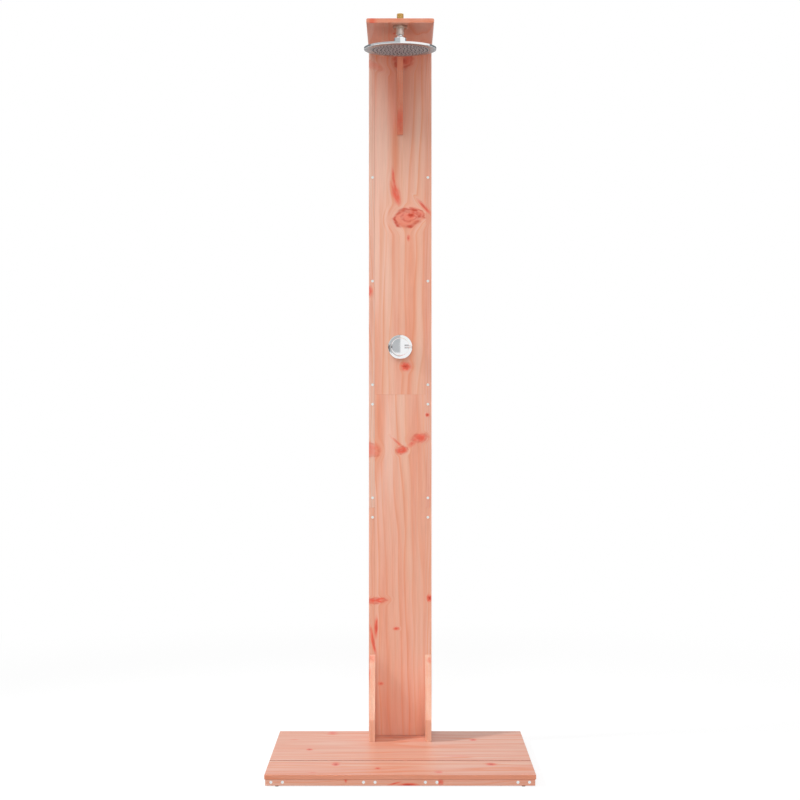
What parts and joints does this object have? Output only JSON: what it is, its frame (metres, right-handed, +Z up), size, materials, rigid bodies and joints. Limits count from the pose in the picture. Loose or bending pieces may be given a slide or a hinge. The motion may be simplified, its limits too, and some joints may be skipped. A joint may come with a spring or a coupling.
{
  "type": "outdoor shower",
  "caption": "Free-standing timber outdoor shower: low deck, hollow column open at the back, shelf with a tilting round rain head, and a lever valve in the front panel.",
  "frame": {"origin": "on the ground, under the middle of the deck's footprint", "axes": "+Z up along the column, -Y towards the open front of the deck where the user stands, +X to the user's right when facing the column"},
  "size_m": [0.8, 0.6, 2.318],
  "materials": {
    "timber": "oiled softwood, planed, with knots and a reddish grain",
    "screw_steel": "bright stainless steel",
    "brass": "turned, satin",
    "chrome": "polished plating",
    "face_plastic": "moulded, fine matt",
    "nozzle_silicone": "soft silicone, matt",
    "seal_rubber": "moulded, matt",
    "foot_plastic": "moulded, matt"
  },
  "bodies": {
    "stand": {"deck_board_front": "timber", "deck_board_rear": "timber", "front_rail": "timber", "rear_rail": "timber", "joist_left": "timber", "joist_mid_left": "timber", "joist_mid_right": "timber", "joist_right": "timber", "foot_pads": "foot_plastic", "deck_screws": "screw_steel", "rail_screws": "screw_steel", "column_screws": "screw_steel", "front_panel_lower": "timber", "front_panel_upper": "timber", "side_board_lower_left": "timber", "side_board_lower_right": "timber", "side_board_upper_left": "timber", "side_board_upper_right": "timber", "edge_strip_lower_left": "timber", "edge_strip_lower_right": "timber", "edge_strip_upper_left": "timber", "edge_strip_upper_right": "timber", "strip_screws": "screw_steel", "splice_left": "timber", "splice_right": "timber", "panel_cleats": "timber", "frame_screws": "screw_steel", "panel_screws": "screw_steel", "base_gusset_left": "timber", "base_gusset_right": "timber", "top_gusset": "timber", "gusset_screws": "screw_steel", "shelf_board": "timber", "shelf_screws": "screw_steel", "valve_body": "brass", "valve_sleeve": "screw_steel", "gland_nut": "brass", "back_nut": "brass", "cover_gasket": "seal_rubber", "cover_plate": "chrome", "cover_ring": "seal_rubber", "inlet_nipple": "brass", "lock_nut": "brass", "nut_washer": "screw_steel", "arm_flange": "chrome", "arm_tube": "chrome", "filter_washer": "seal_rubber"},
    "lever": {"valve_spindle": "brass", "spindle_seals": "seal_rubber", "lever_hub": "chrome", "lever_pin": "chrome", "set_screw": "screw_steel"},
    "swivel_ball": {"ball_stem": "chrome"},
    "head": {"ball_seal": "seal_rubber", "collar_nut": "chrome", "head_shell": "chrome", "face_plate": "face_plastic", "nozzle_mat": "nozzle_silicone"}
  },
  "joints": [
    {"name": "lever_turn", "type": "hinge", "parent": "stand", "child": "lever", "pos_m": [0, 0.239, 1.31225], "axis": [0, -1, 0], "range_deg": [0, 90]},
    {"name": "head_swivel", "type": "hinge", "parent": "stand", "child": "swivel_ball", "pos_m": [0, -0.121, 2.2375], "axis": [0, 0, 1], "continuous": true},
    {"name": "head_tilt", "type": "hinge", "parent": "swivel_ball", "child": "head", "pos_m": [0, -0.121, 2.2375], "axis": [1, 0, 0], "range_deg": [-16, 11]}
  ]
}
